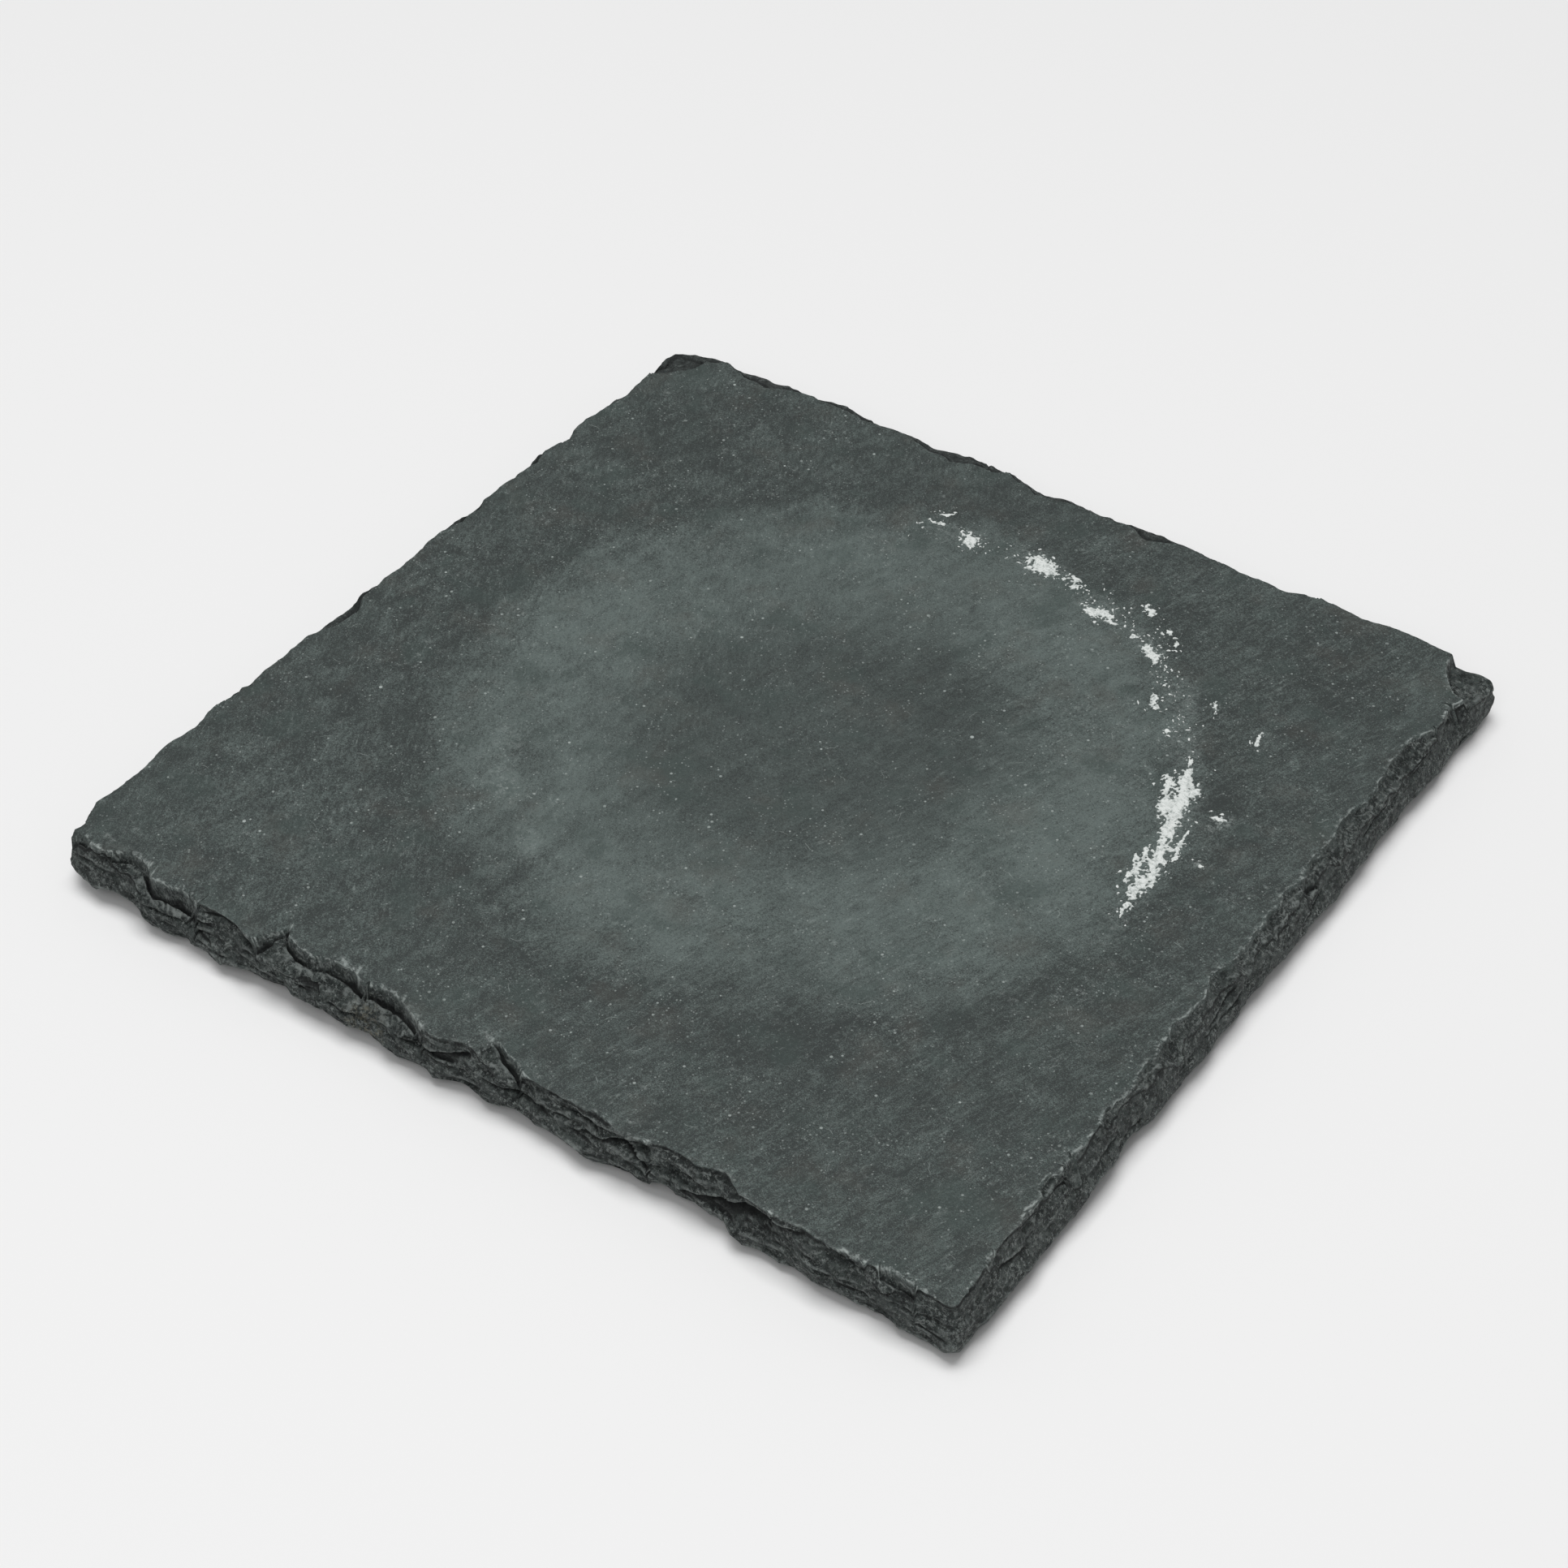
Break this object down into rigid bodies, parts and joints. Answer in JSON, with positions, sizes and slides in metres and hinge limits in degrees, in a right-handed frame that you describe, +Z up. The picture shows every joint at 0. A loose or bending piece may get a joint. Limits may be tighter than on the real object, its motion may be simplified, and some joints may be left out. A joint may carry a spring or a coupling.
{
  "type": "slate slab coaster",
  "caption": "Square riven slate slab with flaked edges, a lime crust left by wet cups and stick-on foam feet, to stand a cup or pot on.",
  "frame": {"origin": "on the table under the middle of the slab: the middle of the bounding box's bottom face", "axes": "+Z up, +X to the right along the longer side, +Y to the back"},
  "size_m": [0.1, 0.099, 0.0062],
  "materials": {
    "slate": "matte",
    "limescale": "matte",
    "foam": "matte",
    "adhesive": "satin"
  },
  "bodies": {
    "root": {"slate_slab": "slate", "mineral_crust": "limescale", "foot_pad_front_left": "foam", "foot_pad_front_right": "foam", "foot_pad_back_left": "foam", "foot_pad_back_right": "foam", "pad_adhesive_front_left": "adhesive", "pad_adhesive_front_right": "adhesive", "pad_adhesive_back_left": "adhesive", "pad_adhesive_back_right": "adhesive"}
  },
  "joints": []
}
